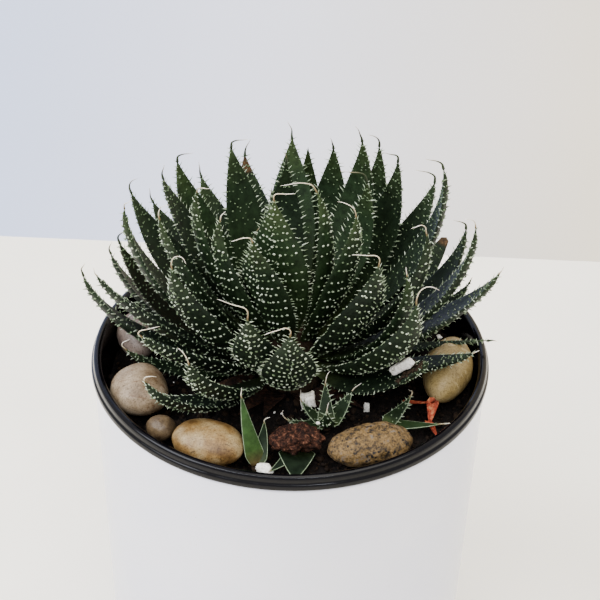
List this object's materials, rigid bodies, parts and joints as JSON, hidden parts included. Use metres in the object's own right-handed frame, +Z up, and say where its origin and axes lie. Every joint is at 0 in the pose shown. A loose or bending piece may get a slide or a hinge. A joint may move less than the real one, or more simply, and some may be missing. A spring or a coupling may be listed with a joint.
{
  "type": "potted lace aloe",
  "caption": "Rosette of thick pointed toothed succulent leaves in a black grow pot that hangs inside a round glossy white cover pot, with river stones on the soil.",
  "frame": {"origin": "middle of the cover pot's flat underside", "axes": "+Z up along the pot's axis, +X to the right and -Y towards the viewer of the picture"},
  "size_m": [0.1333, 0.1343, 0.199],
  "materials": {
    "white_glaze": "gloss",
    "black_plastic": "satin",
    "potting_mix": "matte",
    "aloe_skin": "satin",
    "river_stone": "matte",
    "bark_fibre": "matte",
    "perlite": "matte"
  },
  "bodies": {
    "root": {"outer_pot": "white_glaze", "nursery_pot": "black_plastic", "soil": "potting_mix", "heart": "aloe_skin", "leaf_01": "aloe_skin", "leaf_02": "aloe_skin", "leaf_03": "aloe_skin", "leaf_04": "aloe_skin", "leaf_05": "aloe_skin", "leaf_06": "aloe_skin", "leaf_07": "aloe_skin", "leaf_08": "aloe_skin", "leaf_09": "aloe_skin", "leaf_10": "aloe_skin", "leaf_11": "aloe_skin", "leaf_12": "aloe_skin", "leaf_13": "aloe_skin", "leaf_14": "aloe_skin", "leaf_15": "aloe_skin", "leaf_16": "aloe_skin", "leaf_17": "aloe_skin", "leaf_18": "aloe_skin", "leaf_19": "aloe_skin", "leaf_20": "aloe_skin", "leaf_21": "aloe_skin", "leaf_22": "aloe_skin", "leaf_23": "aloe_skin", "leaf_24": "aloe_skin", "leaf_25": "aloe_skin", "leaf_26": "aloe_skin", "leaf_27": "aloe_skin", "leaf_28": "aloe_skin", "leaf_29": "aloe_skin", "leaf_30": "aloe_skin", "leaf_31": "aloe_skin", "leaf_32": "aloe_skin", "leaf_33": "aloe_skin", "leaf_34": "aloe_skin", "leaf_35": "aloe_skin", "leaf_36": "aloe_skin", "leaf_37": "aloe_skin", "leaf_38": "aloe_skin", "leaf_39": "aloe_skin", "leaf_40": "aloe_skin", "leaf_41": "aloe_skin", "leaf_42": "aloe_skin", "leaf_43": "aloe_skin", "offset_1": "aloe_skin", "offset_2": "aloe_skin", "offset_3": "aloe_skin", "offset_4": "aloe_skin", "pebble_1": "river_stone", "pebble_2": "river_stone", "pebble_3": "river_stone", "pebble_4": "river_stone", "pebble_5": "river_stone", "pebble_6": "river_stone", "pebble_7": "river_stone", "bark_clump": "bark_fibre", "perlite_bar": "perlite"}
  },
  "joints": []
}
